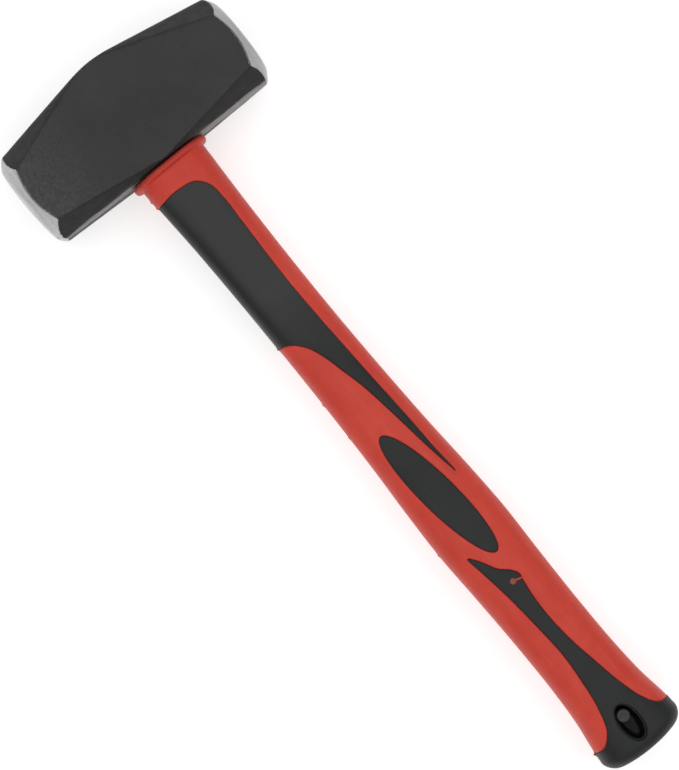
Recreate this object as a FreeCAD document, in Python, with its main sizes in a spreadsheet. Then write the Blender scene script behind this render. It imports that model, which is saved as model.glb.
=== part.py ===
import FreeCAD, Part
import Sketcher
import math
import os

# Lump hammer with a forged octagonal head and a two-shot moulded fibreglass handle.
# The hammer lies on one cheek of its head.
# +X runs along the handle from the head to the butt.
# +Y is the striking direction.
# +Z is up, through the cheek that faces away from the floor.
# The origin is on the lower cheek, straight below the axis of the eye and midway between
# the striking faces. Every part is drawn about the middle of the head and then lifted by
# half the depth of the head.

doc = FreeCAD.newDocument("lump_hammer")
dims = doc.addObject("Spreadsheet::Sheet", "dims")

# name, millimetres or degrees, what it is
SIZES = [
    ("head_depth", 46.4, "cheek to cheek"),
    ("axis_to_underside", 22.5, "middle of the head to its flat underside"),
    ("axis_to_ridge", 31.7, "middle of the head to the ridge, before it is rounded"),
    ("back_angle", 8.3, "slope of the back towards each face, degrees"),
    ("ridge_radius", 80.0, "rounding along the ridge of the back"),
    ("blank_half_length", 62.0, "forged blank, before its ends are turned"),
    ("chamfer_rate", 0.30, "growth of a corner flat across the cheek, per millimetre outward"),
    ("chamfer_seed", 0.4, "reach of the corner flats in the middle of the head"),
    ("late_seed", -0.8, "the same for the two upper flats on the -Y side, which start further out"),
    ("flat_cutter", 100.0, "half width of the block that cuts a corner flat"),
    ("drop_under", 0.5, "height of a lower flat for each millimetre across the cheek"),
    ("drop_back", 0.7, "height of an upper flat for each millimetre across the cheek"),
    ("face_radius", 18.6, "edge of the domed striking face"),
    ("face_edge_at", 59.0, "face edge, from the middle of the head"),
    ("face_tip_at", 60.2, "top of the dome, from the middle of the head"),
    ("cone_rate", 0.71, "turned cone, along the axis for each millimetre outward"),
    ("turning_offset", 1.0, "turned ends, from the middle of the eye towards the ridge"),
    ("turning_radius", 48.0, "outside the corners of the blank"),
    ("eye_bottom_width", 34.0, "eye at the underside, along the striking axis"),
    ("eye_bottom_depth", 24.0, "eye at the underside, cheek to cheek"),
    ("eye_top_width", 37.0, "eye at the ridge, along the striking axis"),
    ("eye_top_depth", 26.5, "eye at the ridge, cheek to cheek"),
    ("eye_corner", 10.5, "corner radius of the eye"),
    ("eye_rim", 1.2, "chamfer round both mouths of the eye"),
    ("core_width", 20.0, "glass-fibre rod, along the striking axis"),
    ("core_depth", 13.0, "glass-fibre rod, cheek to cheek"),
    ("core_corner", 4.5, "corner radius of the rod"),
    ("core_top_at", -28.0, "upper end of the rod"),
    ("core_bottom_at", 343.5, "lower end of the rod"),
    ("resin_top_at", -27.4, "upper surface of the resin"),
    ("seal_height", 4.0, "sealing ring at the bottom of the eye"),
    ("flange_width", 39.4, "collar under the head, along the striking axis"),
    ("flange_depth", 33.6, "collar under the head, cheek to cheek"),
    ("flange_height", 4.4, "collar, along the handle"),
    ("flange_round", 1.9, "rounding of both edges of the collar"),
    ("skin", 2.2, "thickness of the red moulding over the shaft"),
    ("corner_share", 0.80, "corner radius of the shaft, of half its depth"),
    ("handle_length", 327.5, "underside of the head to the end of the butt"),
    ("crown_radius", 70.0, "domed end of the butt"),
    ("crown_reach", 32.0, "how far out the dome is drawn, past the widest part of the butt"),
    ("handle_reach", 20.0, "from the middle of the handle to beyond its skin"),
    ("butt_round", 5.0, "rounding round the end of the butt"),
    ("pocket_at", 312.0, "middle of the hang pocket, from the underside of the head"),
    ("pocket_length", 18.5, "mouth of the hang pocket, along the handle"),
    ("pocket_width", 10.4, "mouth of the hang pocket, across the handle"),
    ("pocket_lip", 0.8, "width of the step inside the mouth"),
    ("pocket_lip_depth", 1.4, "depth of the step below the butt"),
    ("pocket_floor", 1.0, "thickness left between the pocket and the rod"),
    ("pin_at", 308.5, "cross pin, from the underside of the head"),
    ("pin_radius", 3.05, "cross pin"),
    ("pin_length", 28.6, "cross pin, end to end"),
    ("oval_at", 183.7, "black oval on the grip, from the underside of the head"),
    ("oval_off", -0.85, "black oval, off the centre line"),
    ("oval_half_length", 34.3, "black oval"),
    ("oval_half_width", 7.25, "black oval"),
    ("oval_tilt", 6.3, "black oval, degrees"),
]
size = {}
row = 1
for name, value, meaning in SIZES:
    dims.set("A%d" % row, name)
    dims.set("B%d" % row, repr(value))
    dims.set("C%d" % row, meaning)
    dims.setAlias("B%d" % row, name)
    size[name] = value
    row += 1

# Shaft stations: distance from the underside of the head, width along the striking
# axis and depth from cheek side to cheek side.
STATIONS = [
    (0.0, 33.8, 28.4),
    (16.0, 32.2, 27.2),
    (43.0, 30.3, 25.8),
    (86.0, 28.9, 24.8),
    (128.0, 29.8, 25.4),
    (160.0, 31.8, 26.8),
    (184.0, 34.2, 28.0),
    (207.0, 35.5, 28.6),
    (230.0, 34.3, 28.4),
    (262.0, 33.3, 28.2),
    (284.0, 33.9, 28.8),
    (300.0, 35.9, 30.0),
    (314.0, 39.7, 31.4),
    (327.5, 41.0, 32.0),
]
station_width = []
station_depth = []
for index, (at, width, depth) in enumerate(STATIONS):
    for word, value in (("at", at), ("width", width), ("depth", depth)):
        alias = "shaft_%s_n%02d" % (word, index)
        dims.set("A%d" % row, alias)
        dims.set("B%d" % row, repr(value))
        dims.setAlias("B%d" % row, alias)
        size[alias] = value
        row += 1
doc.recompute()

UNDERSIDE = size["axis_to_underside"]
HALF_DEPTH = size["head_depth"] / 2.0
XY = "XY_Plane"
XZ = "XZ_Plane"
YZ = "YZ_Plane"


def new_body(label):
    """A body with this label."""
    body = doc.addObject("PartDesign::Body", label)
    body.Label = label
    return body


def new_sketch(body, role, name, offset=None):
    """A sketch on one of the body's origin planes, moved along the plane's normal by an expression."""
    sketch = body.newObject("Sketcher::SketchObject", name)
    plane = [f for f in body.Origin.OriginFeatures if f.Role == role][0]
    sketch.AttachmentSupport = [(plane, "")]
    sketch.MapMode = "FlatFace"
    if offset is not None:
        sketch.setExpression("AttachmentOffset.Base.z", offset)
    return sketch


def constrain(sketch, *arguments):
    """Add one constraint and give back its number."""
    return sketch.addConstraint(Sketcher.Constraint(*arguments))


def rounded_rectangle(sketch, half_x, half_y, radius, along_x, along_y, corner):
    """A rectangle about the sketch's origin with equal corner arcs.

    half_x, half_y and radius are its sizes as numbers; along_x, along_y and corner
    are the expressions for its full sizes and its corner radius.
    """
    cx = half_x - radius
    cy = half_y - radius
    turns = [(cx, cy, 0.0), (-cx, cy, 0.5), (-cx, -cy, 1.0), (cx, -cy, 1.5)]
    up = FreeCAD.Vector(0, 0, 1)
    arcs = []
    for x, y, turn in turns:
        circle = Part.Circle(FreeCAD.Vector(x, y, 0), up, radius)
        arc = Part.ArcOfCircle(circle, turn * math.pi, (turn + 0.5) * math.pi)
        arcs.append(sketch.addGeometry(arc, False))
    ends = [
        ((cx, half_y), (-cx, half_y)),
        ((-half_x, cy), (-half_x, -cy)),
        ((-cx, -half_y), (cx, -half_y)),
        ((half_x, -cy), (half_x, cy)),
    ]
    lines = []
    for (ax, ay), (bx, by) in ends:
        line = Part.LineSegment(FreeCAD.Vector(ax, ay, 0), FreeCAD.Vector(bx, by, 0))
        lines.append(sketch.addGeometry(line, False))
    for i in range(4):
        constrain(sketch, "Tangent", arcs[i], 2, lines[i], 1)
        constrain(sketch, "Tangent", lines[i], 2, arcs[(i + 1) % 4], 1)
    constrain(sketch, "Horizontal", lines[0])
    constrain(sketch, "Vertical", lines[1])
    constrain(sketch, "Equal", arcs[0], arcs[1])
    constrain(sketch, "Equal", arcs[0], arcs[2])
    constrain(sketch, "Symmetric", arcs[0], 3, arcs[2], 3, -1, 1)
    across = constrain(sketch, "DistanceX", arcs[1], 3, arcs[0], 3, 2 * cx)
    tall = constrain(sketch, "DistanceY", arcs[3], 3, arcs[0], 3, 2 * cy)
    round_ = constrain(sketch, "Radius", arcs[0], radius)
    sketch.setExpression("Constraints[%d]" % across, "%s - 2 * (%s)" % (along_x, corner))
    sketch.setExpression("Constraints[%d]" % tall, "%s - 2 * (%s)" % (along_y, corner))
    sketch.setExpression("Constraints[%d]" % round_, corner)


def flowing_outline(sketch, runs):
    """A closed outline of runs; two points make a line, more make a smooth curve through them."""
    count = 0
    for points in runs:
        vectors = [FreeCAD.Vector(x, y, 0) for x, y in points]
        if len(vectors) == 2:
            sketch.addGeometry(Part.LineSegment(vectors[0], vectors[1]), False)
        else:
            curve = Part.BSplineCurve()
            curve.interpolate(vectors)
            sketch.addGeometry(curve, False)
        count += 1
    for i in range(count):
        constrain(sketch, "Coincident", i, 2, (i + 1) % count, 1)


def edge_names(shape, wanted):
    """Names of the edges for which wanted(edge) holds."""
    return ["Edge%d" % (i + 1) for i, edge in enumerate(shape.Edges) if wanted(edge)]


def boolean(kind, label, base, tool):
    """Part::Cut, Part::Common or Part::Fuse of two objects."""
    result = doc.addObject(kind, label)
    result.Base = base
    result.Tool = tool
    result.Refine = True
    return result


def fuse_all(label, members):
    """Part::MultiFuse of a list of objects."""
    result = doc.addObject("Part::MultiFuse", label)
    result.Shapes = members
    result.Refine = True
    return result


def lift(thing):
    """Raise a finished part to its place above the lower cheek."""
    thing.setExpression("Placement.Base.z", "dims.head_depth / 2")


def eye_slab(label, start, length):
    """A block wider than the eye all round, from start along X."""
    block = doc.addObject("Part::Box", label)
    block.setExpression("Length", length)
    block.setExpression("Width", "2 * dims.head_depth")
    block.setExpression("Height", "2 * dims.head_depth")
    block.setExpression("Placement.Base.x", start)
    block.setExpression("Placement.Base.y", "-dims.head_depth")
    block.setExpression("Placement.Base.z", "-dims.head_depth")
    return block


# ---------------------------------------------------------------- head
# The forging is a slab as deep as the head. Seen on the cheek, its underside is
# straight and its back falls from a rounded ridge towards each end.
forging = new_body("forging")
slope = math.radians(size["back_angle"])
BLANK = size["blank_half_length"]
crest_y = size["ridge_radius"] * math.sin(slope)
crest_x = -size["axis_to_ridge"] + math.tan(slope) * crest_y
crest_top = -size["axis_to_ridge"] + size["ridge_radius"] * (1.0 / math.cos(slope) - 1.0)
end_x = -size["axis_to_ridge"] + math.tan(slope) * BLANK
under_left = FreeCAD.Vector(UNDERSIDE, -BLANK, 0)
under_right = FreeCAD.Vector(UNDERSIDE, BLANK, 0)
back_right = FreeCAD.Vector(end_x, BLANK, 0)
crest_right = FreeCAD.Vector(crest_x, crest_y, 0)
crest_middle = FreeCAD.Vector(crest_top, 0, 0)
crest_left = FreeCAD.Vector(crest_x, -crest_y, 0)
back_left = FreeCAD.Vector(end_x, -BLANK, 0)
silhouette = new_sketch(forging, XY, "silhouette")
silhouette.addGeometry(Part.LineSegment(under_left, under_right), False)
silhouette.addGeometry(Part.LineSegment(under_right, back_right), False)
silhouette.addGeometry(Part.LineSegment(back_right, crest_right), False)
silhouette.addGeometry(Part.Arc(crest_right, crest_middle, crest_left), False)
silhouette.addGeometry(Part.LineSegment(crest_left, back_left), False)
silhouette.addGeometry(Part.LineSegment(back_left, under_left), False)
for i in range(6):
    constrain(silhouette, "Coincident", i, 2, (i + 1) % 6, 1)
slab = forging.newObject("PartDesign::Pad", "slab")
slab.Profile = silhouette
slab.SideType = "Symmetric"
slab.setExpression("Length", "dims.head_depth")

# Both ends are turned about one striking axis: a cone, then a shallow dome.
turning = new_sketch(forging, XY, "turning")
r_face = size["face_radius"]
y_face = size["face_edge_at"]
y_tip = size["face_tip_at"]
r_out = size["turning_radius"]
y_out = y_face - size["cone_rate"] * (r_out - r_face)
rise = y_tip - y_face
dome = (r_face ** 2 + rise ** 2) / (2.0 * rise)
half_angle = math.asin(r_face / dome) / 2.0
for side in (1.0, -1.0):
    tip = FreeCAD.Vector(0, side * y_tip, 0)
    edge = FreeCAD.Vector(r_face, side * y_face, 0)
    bulge_y = y_tip - dome * (1.0 - math.cos(half_angle))
    bulge = FreeCAD.Vector(dome * math.sin(half_angle), side * bulge_y, 0)
    outer = FreeCAD.Vector(r_out, side * y_out, 0)
    corner = FreeCAD.Vector(r_out, side * (BLANK + 4.0), 0)
    on_axis = FreeCAD.Vector(0, side * (BLANK + 4.0), 0)
    turning.addGeometry(Part.Arc(tip, bulge, edge), False)
    turning.addGeometry(Part.LineSegment(edge, outer), False)
    turning.addGeometry(Part.LineSegment(outer, corner), False)
    turning.addGeometry(Part.LineSegment(corner, on_axis), False)
    turning.addGeometry(Part.LineSegment(on_axis, tip), False)
turning.setExpression("AttachmentOffset.Base.x", "-dims.turning_offset")
turned = forging.newObject("PartDesign::Groove", "turned_ends")
turned.Profile = turning
turned.ReferenceAxis = (turning, ["V_Axis"])
turned.Angle = 360.0
forging.Tip = turned
doc.recompute()

# Each long corner is cut by a flat that starts narrow in the middle of the head and
# widens evenly towards the end. A lower flat drops half as far as it reaches across
# the cheek, an upper one seven tenths as far.
octagon = forging
FLAT = size["flat_cutter"]
drops = [("under", 1.0, size["drop_under"], 0.0), ("back", -1.0, size["drop_back"], math.tan(slope))]
for word, out_x, drop, fall in drops:
    start_x = UNDERSIDE if out_x > 0 else -size["axis_to_ridge"]
    for side_y in (1.0, -1.0):
        for side_z in (1.0, -1.0):
            widening = drop * size["chamfer_rate"] + fall
            normal = FreeCAD.Vector(out_x, side_y * widening, side_z * drop)
            normal.normalize()
            late = out_x < 0 and side_y < 0
            half = HALF_DEPTH - size["late_seed" if late else "chamfer_seed"]
            touch = FreeCAD.Vector(start_x, 0, side_z * half)
            name = "%s_%s%s" % (word, "p" if side_y > 0 else "n", "p" if side_z > 0 else "n")
            cutter = doc.addObject("Part::Box", "flat_" + name)
            cutter.Length = 2.0 * FLAT
            cutter.Width = 2.0 * FLAT
            cutter.Height = FLAT
            turn = FreeCAD.Rotation(FreeCAD.Vector(0, 0, 1), normal)
            corner_at = turn.multVec(FreeCAD.Vector(-FLAT, -FLAT, 0))
            cutter.Placement = FreeCAD.Placement(touch + corner_at, turn)
            octagon = boolean("Part::Cut", "octagon_" + name, octagon, cutter)
doc.recompute()

# The eye is an oval hole that widens towards the back of the head.
eye_form = new_body("eye_form")
eye_mouths = [
    ("eye_bottom", UNDERSIDE, "dims.axis_to_underside", "eye_bottom"),
    ("eye_top", -size["axis_to_ridge"], "-dims.axis_to_ridge", "eye_top"),
]
eye_sections = []
for name, at, offset, word in eye_mouths:
    section = new_sketch(eye_form, YZ, name, offset)
    rounded_rectangle(
        section,
        size[word + "_width"] / 2.0,
        size[word + "_depth"] / 2.0,
        size["eye_corner"],
        "dims.%s_width" % word,
        "dims.%s_depth" % word,
        "dims.eye_corner",
    )
    eye_sections.append(section)
eye_hole = eye_form.newObject("PartDesign::AdditiveLoft", "eye_hole")
eye_hole.Profile = eye_sections[0]
eye_hole.Sections = eye_sections[1:]
eye_hole.Ruled = True
eye_form.Tip = eye_hole
doc.recompute()

pierced = boolean("Part::Cut", "pierced_head", octagon, eye_form)
doc.recompute()
mouth_edges = []
for i, edge in enumerate(pierced.Shape.Edges):
    middle_x = edge.CenterOfMass.x
    box = edge.BoundBox
    near_axis = max(abs(box.YMin), abs(box.YMax)) < 19.0 and max(abs(box.ZMin), abs(box.ZMax)) < 14.0
    if near_axis and abs(middle_x - UNDERSIDE) < 0.01 and edge.Length > 1.0:
        mouth_edges.append((i + 1, size["eye_rim"], size["eye_rim"]))
hammer_head = doc.addObject("Part::Chamfer", "hammer_head")
hammer_head.Label = "hammer_head"
hammer_head.Base = pierced
hammer_head.Edges = mouth_edges
lift(hammer_head)
doc.recompute()

# ---------------------------------------------------------------- rod
core_blank = new_body("core_blank")
core_section = new_sketch(core_blank, YZ, "core_section", "dims.core_top_at")
rounded_rectangle(
    core_section,
    size["core_width"] / 2.0,
    size["core_depth"] / 2.0,
    size["core_corner"],
    "dims.core_width",
    "dims.core_depth",
    "dims.core_corner",
)
core_pull = core_blank.newObject("PartDesign::Pad", "core_pull")
core_pull.Profile = core_section
core_pull.setExpression("Length", "dims.core_bottom_at - dims.core_top_at")
core_blank.Tip = core_pull

pin_form = doc.addObject("Part::Cylinder", "pin_form")
pin_form.setExpression("Radius", "dims.pin_radius")
pin_form.setExpression("Height", "dims.pin_length")
pin_form.setExpression("Placement.Base.x", "dims.axis_to_underside + dims.pin_at")
pin_form.setExpression("Placement.Base.z", "-dims.pin_length / 2")
doc.recompute()

fibreglass_core = boolean("Part::Cut", "fibreglass_core", core_blank, pin_form)
lift(fibreglass_core)

core_cross_pin = doc.addObject("Part::Cylinder", "core_cross_pin")
core_cross_pin.setExpression("Radius", "dims.pin_radius")
core_cross_pin.setExpression("Height", "dims.pin_length")
core_cross_pin.setExpression("Placement.Base.x", "dims.axis_to_underside + dims.pin_at")
core_cross_pin.setExpression("Placement.Base.z", "dims.head_depth / 2 - dims.pin_length / 2")

# ---------------------------------------------------------------- resin and seal
# Both fill the eye round the rod: resin from just inside the back of the head down to
# the sealing ring, which ends level with the underside.
resin_slab = eye_slab(
    "resin_slab", "dims.resin_top_at", "dims.axis_to_underside - dims.seal_height - dims.resin_top_at"
)
seal_slab = eye_slab("seal_slab", "dims.axis_to_underside - dims.seal_height", "dims.seal_height")
resin_fill = boolean("Part::Common", "resin_fill", eye_form, resin_slab)
seal_fill = boolean("Part::Common", "seal_fill", eye_form, seal_slab)
epoxy_potting = boolean("Part::Cut", "epoxy_potting", resin_fill, core_blank)
lift(epoxy_potting)
eye_seal = boolean("Part::Cut", "eye_seal", seal_fill, core_blank)
lift(eye_seal)

# ---------------------------------------------------------------- handle forms


def shaft(label, inset):
    """The shaft lofted through all its stations, each smaller all round by this inset."""
    body = new_body(label)
    sections = []
    for index, (at, width, depth) in enumerate(STATIONS):
        offset = "dims.axis_to_underside + dims.shaft_at_n%02d" % index
        sketch = new_sketch(body, YZ, "%s_station_%02d" % (label, index), offset)
        half_width = width / 2.0 - inset
        half_depth = depth / 2.0 - inset
        along_y = "(dims.shaft_width_n%02d - 2 * %r)" % (index, inset)
        along_z = "(dims.shaft_depth_n%02d - 2 * %r)" % (index, inset)
        corner = "(dims.corner_share * (dims.shaft_depth_n%02d / 2 - %r))" % (index, inset)
        radius = size["corner_share"] * half_depth
        rounded_rectangle(sketch, half_width, half_depth, radius, along_y, along_z, corner)
        sections.append(sketch)
    loft = body.newObject("PartDesign::AdditiveLoft", label + "_loft")
    loft.Profile = sections[0]
    loft.Sections = sections[1:]
    body.Tip = loft
    return body


handle_form = shaft("handle_form", 0.0)
BUTT_X = UNDERSIDE + size["handle_length"]
crown_sketch = new_sketch(handle_form, XY, "crown_sketch")
crown_reach = size["crown_reach"]
crown_back = size["crown_radius"] - math.sqrt(size["crown_radius"] ** 2 - crown_reach ** 2)
crown_half = math.asin(crown_reach / size["crown_radius"]) / 2.0
crown_tip = FreeCAD.Vector(BUTT_X, 0, 0)
crown_mid = FreeCAD.Vector(
    BUTT_X - size["crown_radius"] * (1.0 - math.cos(crown_half)),
    size["crown_radius"] * math.sin(crown_half),
    0,
)
crown_edge = FreeCAD.Vector(BUTT_X - crown_back, crown_reach, 0)
crown_corner = FreeCAD.Vector(BUTT_X + 5.0, crown_reach, 0)
crown_on_axis = FreeCAD.Vector(BUTT_X + 5.0, 0, 0)
crown_sketch.addGeometry(Part.Arc(crown_tip, crown_mid, crown_edge), False)
crown_sketch.addGeometry(Part.LineSegment(crown_edge, crown_corner), False)
crown_sketch.addGeometry(Part.LineSegment(crown_corner, crown_on_axis), False)
crown_sketch.addGeometry(Part.LineSegment(crown_on_axis, crown_tip), False)
crowned = handle_form.newObject("PartDesign::Groove", "crowned")
crowned.Profile = crown_sketch
crowned.ReferenceAxis = (crown_sketch, ["H_Axis"])
crowned.Angle = 360.0
handle_form.Tip = crowned
doc.recompute()


def on_end_rim(edge):
    centre = edge.CenterOfMass
    flat = edge.BoundBox.XMax - edge.BoundBox.XMin < 3.5
    return flat and centre.x > BUTT_X - 8.0 and math.hypot(centre.y, centre.z) > 11.0


end_rim = edge_names(crowned.Shape, on_end_rim)
rounded_end = handle_form.newObject("PartDesign::Fillet", "rounded_end")
rounded_end.Base = (crowned, end_rim)
rounded_end.setExpression("Radius", "dims.butt_round")
handle_form.Tip = rounded_end
doc.recompute()

substrate_form = shaft("substrate_form", size["skin"])
doc.recompute()

# ---------------------------------------------------------------- where black shows
# The black moulding comes to the surface inside three windows in the red one. Each
# window is drawn on the middle plane and goes right through, so that both cheek
# sides of the handle match.
OUTSIDE = 26.0


def window(label, runs):
    """A prism through the handle with this outline."""
    body = new_body(label)
    sketch = new_sketch(body, XY, label + "_sketch")
    flowing_outline(sketch, runs)
    pad = body.newObject("PartDesign::Pad", label + "_pad")
    pad.Profile = sketch
    pad.SideType = "Symmetric"
    pad.setExpression("Length", "dims.head_depth")
    body.Tip = pad
    return body


# Upper panel: wraps the edge of the shaft on the side away from +Y, square under the
# collar, and ends in a long flame between the tongue and the far edge.
panel_corner = (35.1, -4.5)
panel_tip = (197.0, 10.6)
panel_low_left = (115.1, -OUTSIDE)
panel_high_left = (35.6, -OUTSIDE)
panel_window = window(
    "panel_window",
    [
        [panel_high_left, panel_corner],
        [panel_corner, (37.0, 4.1), (42.1, 7.8), (51.6, 8.8), (91.9, 7.2), (143.4, 8.6), panel_tip],
        [panel_tip, (173.4, 7.2), (147.7, 3.2), (130.5, -0.7), (121.1, -4.5), (115.1, -14.0)],
        [(115.1, -14.0), panel_low_left],
        [panel_low_left, panel_high_left],
    ],
)

# Lower flame: starts as a point by the edge away from +Y, has a hooked shoulder, narrows
# to a waist and spreads to take in the whole butt.
flame_tip = (236.4, -9.2)
shoulder_in = (254.0, 3.6)
shoulder_out = (256.6, 3.6)
far_lobe = (337.0, 18.0)
near_lobe = (336.8, -18.0)
far_side = (337.0, OUTSIDE)
near_side = (336.8, -OUTSIDE)
past_far = (360.0, OUTSIDE)
past_near = (360.0, -OUTSIDE)
flame_window = window(
    "flame_window",
    [
        [flame_tip, (242.0, -5.3), (247.5, -2.0), shoulder_in],
        [shoulder_in, (255.3, 4.1), shoulder_out],
        [shoulder_out, (267.8, 2.3), (284.9, 2.4), (302.1, 5.3), (319.2, 8.1), (332.1, 12.6), far_lobe],
        [far_lobe, far_side],
        [far_side, past_far],
        [past_far, past_near],
        [past_near, near_side],
        [near_side, near_lobe],
        [near_lobe, (332.1, -10.5), (319.2, -5.7), (302.1, -3.6), (284.9, -3.7), (259.2, -5.9), flame_tip],
    ],
)

# Slanted oval between the two flames.
oval_window = new_body("oval_window")
oval_sketch = new_sketch(oval_window, XY, "oval_sketch")
oval_centre = FreeCAD.Vector(UNDERSIDE + size["oval_at"], size["oval_off"], 0)
tilt = math.radians(size["oval_tilt"])
along = FreeCAD.Vector(math.cos(tilt), math.sin(tilt), 0)
across = FreeCAD.Vector(-math.sin(tilt), math.cos(tilt), 0)
oval = Part.Ellipse(
    oval_centre + along * size["oval_half_length"],
    oval_centre + across * size["oval_half_width"],
    oval_centre,
)
oval_sketch.addGeometry(oval, False)
oval_pad = oval_window.newObject("PartDesign::Pad", "oval_pad")
oval_pad.Profile = oval_sketch
oval_pad.SideType = "Symmetric"
oval_pad.setExpression("Length", "dims.head_depth")
oval_window.Tip = oval_pad
doc.recompute()

# ---------------------------------------------------------------- hang pocket
# One pocket on each cheek side: an oval mouth with a step, then straight down to a
# thin floor over the flat of the rod.


def pocket(label, side):
    """The space of one pocket; side is 1 for the upper cheek side and -1 for the lower."""
    body = new_body(label)
    floor = "%d * (dims.core_depth / 2 + dims.pocket_floor)" % side
    step = "%d * (dims.shaft_depth_n12 / 2 - dims.pocket_lip_depth)" % side
    centre = FreeCAD.Vector(UNDERSIDE + size["pocket_at"], 0, 0)
    for name, offset, inset in (("well", floor, size["pocket_lip"]), ("mouth", step, 0.0)):
        sketch = new_sketch(body, XY, "%s_%s_outline" % (label, name), offset)
        long_end = centre + FreeCAD.Vector(size["pocket_length"] / 2.0 - inset, 0, 0)
        short_end = centre + FreeCAD.Vector(0, size["pocket_width"] / 2.0 - inset, 0)
        sketch.addGeometry(Part.Ellipse(long_end, short_end, centre), False)
        pad = body.newObject("PartDesign::Pad", "%s_%s" % (label, name))
        pad.Profile = sketch
        pad.setExpression("Length", "dims.handle_reach")
        pad.Reversed = side < 0
        body.Tip = pad
    return body


pocket_up = pocket("pocket_up", 1)
pocket_down = pocket("pocket_down", -1)
doc.recompute()

# ---------------------------------------------------------------- black moulding
windows = fuse_all("windows", [panel_window, oval_window, flame_window])
shown = boolean("Part::Common", "shown", handle_form, windows)
jacket_solid = fuse_all("jacket_solid", [substrate_form, shown])
hollows = fuse_all("hollows", [core_blank, pocket_up, pocket_down, pin_form])
handle_jacket = boolean("Part::Cut", "handle_jacket", jacket_solid, hollows)
lift(handle_jacket)

# ---------------------------------------------------------------- red moulding
collar = new_body("collar")
collar_section = new_sketch(collar, YZ, "collar_section", "dims.axis_to_underside")
rounded_rectangle(
    collar_section,
    size["flange_width"] / 2.0,
    size["flange_depth"] / 2.0,
    size["flange_depth"] / 2.0 * size["corner_share"],
    "dims.flange_width",
    "dims.flange_depth",
    "dims.flange_depth / 2 * dims.corner_share",
)
collar_disc = collar.newObject("PartDesign::Pad", "collar_disc")
collar_disc.Profile = collar_section
collar_disc.setExpression("Length", "dims.flange_height")
collar.Tip = collar_disc
doc.recompute()
collar_rims = edge_names(
    collar_disc.Shape,
    lambda e: abs(e.BoundBox.XMax - e.BoundBox.XMin) < 0.1,
)
collar_bead = collar.newObject("PartDesign::Fillet", "collar_bead")
collar_bead.Base = (collar_disc, collar_rims)
collar_bead.setExpression("Radius", "dims.flange_round")
collar.Tip = collar_bead

red_solid = fuse_all("red_solid", [handle_form, collar])
not_red = fuse_all("not_red", [substrate_form, windows])
grip_overmould = boolean("Part::Cut", "grip_overmould", red_solid, not_red)
lift(grip_overmould)
doc.recompute()

# ---------------------------------------------------------------- checks and files
PARTS = [
    hammer_head,
    grip_overmould,
    handle_jacket,
    fibreglass_core,
    epoxy_potting,
    eye_seal,
    core_cross_pin,
]
for thing in doc.Objects:
    if "Invalid" in thing.State or "Error" in thing.State:
        raise RuntimeError("%s did not build" % thing.Label)
for thing in PARTS:
    if thing.Shape.isNull() or not thing.Shape.isValid():
        raise RuntimeError("%s has no valid shape" % thing.Label)
    if len(thing.Shape.Solids) != 1:
        raise RuntimeError("%s is not one solid" % thing.Label)

os.makedirs("parts", exist_ok=True)
for thing in PARTS:
    thing.Shape.exportStep(os.path.join("parts", thing.Label + ".step"))
    print("%-16s %9.1f mm3" % (thing.Label, thing.Shape.Volume))
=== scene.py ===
import math

import bmesh
import bpy
import numpy as np
from mathutils import Matrix, Vector


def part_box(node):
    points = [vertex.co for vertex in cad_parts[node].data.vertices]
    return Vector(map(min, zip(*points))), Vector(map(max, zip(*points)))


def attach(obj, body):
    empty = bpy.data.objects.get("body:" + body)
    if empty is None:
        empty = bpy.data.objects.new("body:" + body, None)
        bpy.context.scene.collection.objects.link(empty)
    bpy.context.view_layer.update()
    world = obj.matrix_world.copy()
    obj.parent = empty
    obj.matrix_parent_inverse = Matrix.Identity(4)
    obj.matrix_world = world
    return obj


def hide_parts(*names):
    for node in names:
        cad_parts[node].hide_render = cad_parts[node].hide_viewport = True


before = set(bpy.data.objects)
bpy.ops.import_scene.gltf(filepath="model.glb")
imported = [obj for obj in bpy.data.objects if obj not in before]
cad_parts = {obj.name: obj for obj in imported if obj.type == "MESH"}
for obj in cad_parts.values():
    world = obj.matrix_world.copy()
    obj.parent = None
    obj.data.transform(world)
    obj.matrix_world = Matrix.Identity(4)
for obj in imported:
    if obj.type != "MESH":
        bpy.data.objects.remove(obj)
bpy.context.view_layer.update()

# All sizes below are in millimetres in the row frame, and become metres in mesh_object.
# Local coordinates have their origin where the axis of the eye crosses the middle of the head.
MM = 0.001
# Height of the plane that halves the hammer from cheek to cheek.
MID_Z = sum(corner.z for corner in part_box("fibreglass_core")) / 2.0 / MM
# Where the handle leaves the head, along the handle.
UNDERSIDE = 22.5
TAU = 2.0 * math.pi


# ------------------------------------------------------------------ small tools
def mesh_object(name, points, polygons, material, sharp_degrees=40.0):
    """An object from points in local millimetres, raised to the middle plane of the hammer."""
    used = np.unique(np.concatenate([np.array(p) for p in polygons]))
    place = {int(v): i for i, v in enumerate(used)}
    polygons = [[place[int(v)] for v in p] for p in polygons]
    mesh = bpy.data.meshes.new(name)
    placed = np.array(points, dtype=float)[used]
    placed[:, 2] += MID_Z
    mesh.from_pydata((placed * MM).tolist(), [], polygons)
    mesh.update()
    bm = bmesh.new()
    bm.from_mesh(mesh)
    bmesh.ops.remove_doubles(bm, verts=bm.verts, dist=1e-7)
    bmesh.ops.recalc_face_normals(bm, faces=bm.faces)
    bm.to_mesh(mesh)
    bm.free()
    mesh.polygons.foreach_set("use_smooth", [True] * len(mesh.polygons))
    mesh.set_sharp_from_angle(angle=math.radians(sharp_degrees))
    mesh.materials.append(material)
    obj = bpy.data.objects.new(name, mesh)
    bpy.context.scene.collection.objects.link(obj)
    return obj


def turns(count):
    """Angles that divide a full turn evenly."""
    return np.arange(count) / count * TAU


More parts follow.
